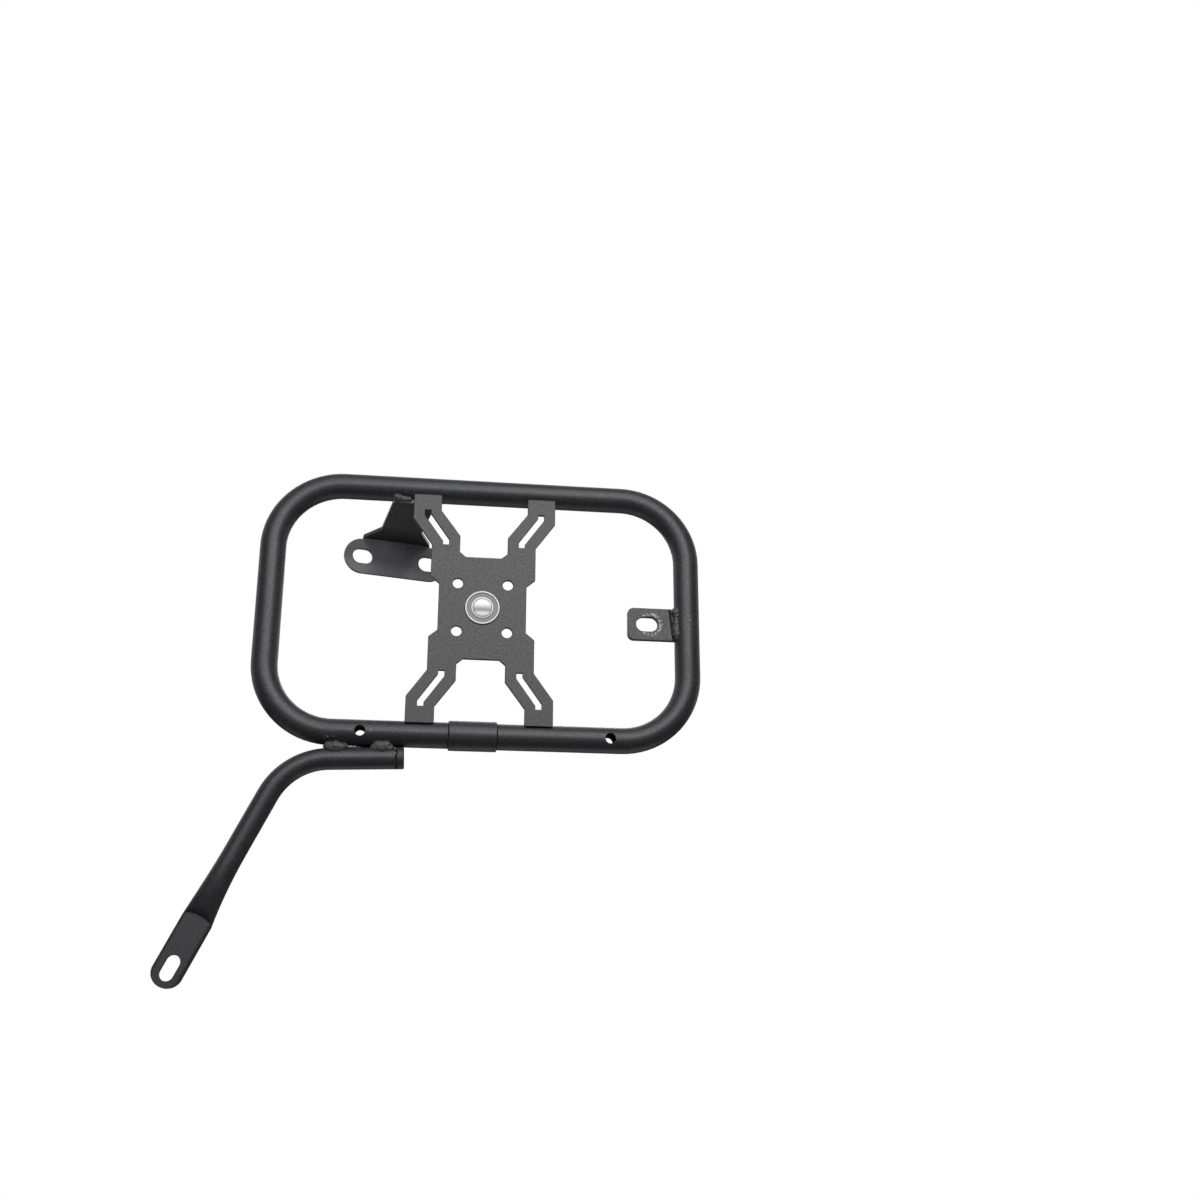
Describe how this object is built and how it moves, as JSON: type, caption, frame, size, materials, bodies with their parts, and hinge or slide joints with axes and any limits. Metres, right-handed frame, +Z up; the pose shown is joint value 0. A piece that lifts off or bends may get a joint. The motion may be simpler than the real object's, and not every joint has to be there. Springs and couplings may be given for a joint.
{
  "type": "pannier frame",
  "caption": "Motorcycle pannier side frame: a bent tube loop with a cross-shaped slotted plate, a folded bracket, a slotted tab and a bent stay with a flattened end.",
  "frame": {"origin": "centre of the plate's four bolt holes, on the plate's outer face", "axes": "+X to the rear of the bike, +Y inboard, square to the loop, and +Z up"},
  "size_m": [0.4367, 0.1209, 0.4347],
  "materials": {
    "powder_coat": "fine-grained satin black powder coat over steel",
    "coated_weld": "rough weld metal under black powder coat",
    "badge_metal": "satin silver, plain rim and raised middle",
    "plug_plastic": "matt black moulded plug"
  },
  "bodies": {
    "root": {"loop_tube": "powder_coat", "joint_sleeve": "powder_coat", "mounting_plate": "powder_coat", "badge_blank": "badge_metal", "upper_bracket": "powder_coat", "side_tab": "powder_coat", "stay": "powder_coat", "stay_plug": "plug_plastic", "stay_welds": "coated_weld", "tab_weld": "coated_weld", "bracket_welds": "coated_weld", "plate_welds": "coated_weld"}
  },
  "joints": []
}
